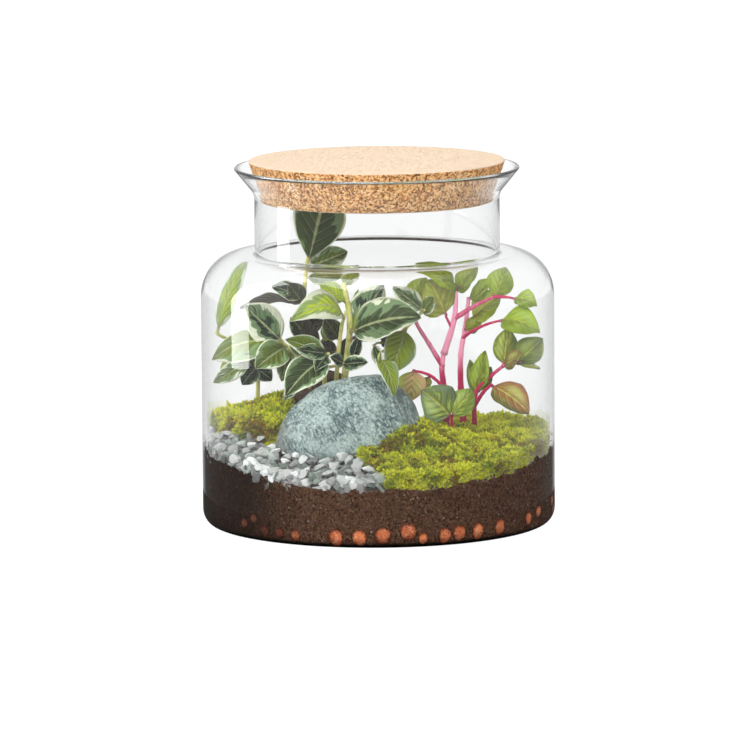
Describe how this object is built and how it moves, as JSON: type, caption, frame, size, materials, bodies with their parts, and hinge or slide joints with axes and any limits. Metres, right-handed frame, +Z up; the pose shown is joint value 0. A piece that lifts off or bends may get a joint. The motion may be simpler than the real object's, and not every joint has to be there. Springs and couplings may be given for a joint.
{
  "type": "plant terrarium",
  "caption": "Planted glass terrarium: clear jar with a rounded shoulder and flared rim under a cork lid, holding clay balls, soil, gravel, a stone, moss and leafy stems.",
  "frame": {"origin": "centre of the jar's base ring, on the surface it stands on", "axes": "+Z up along the jar's axis; -Y is the front, where the stone and the gravel show; +X is right as seen from the front"},
  "size_m": [0.165, 0.165, 0.17],
  "materials": {
    "jar_glass": "clear, polished",
    "cork": "granular cork, unsealed",
    "fired_clay": "matte, unglazed",
    "potting_soil": "crumbly, damp",
    "boulder": "worn, matte",
    "gravel": "worn, matte",
    "moss": "soft, fibrous",
    "marbled_leaf": "soft leaf with pale margins",
    "pink_plant": "soft leaf on pink stems"
  },
  "bodies": {
    "root": {"glass_jar": "jar_glass", "cork_lid": "cork", "clay_balls": "fired_clay", "soil": "potting_soil", "root_ball": "potting_soil", "stone": "boulder", "gravel": "gravel", "moss_right": "moss", "moss_left": "moss", "marbled_stem_tall": "marbled_leaf", "marbled_stem_middle": "marbled_leaf", "marbled_stem_right": "marbled_leaf", "marbled_stem_left": "marbled_leaf", "marbled_stem_low": "marbled_leaf", "marbled_stem_back_left": "marbled_leaf", "pink_stem_left": "pink_plant", "pink_stem_middle": "pink_plant", "pink_stem_right": "pink_plant", "pink_stem_front": "pink_plant", "pink_stem_seedling": "pink_plant"}
  },
  "joints": []
}
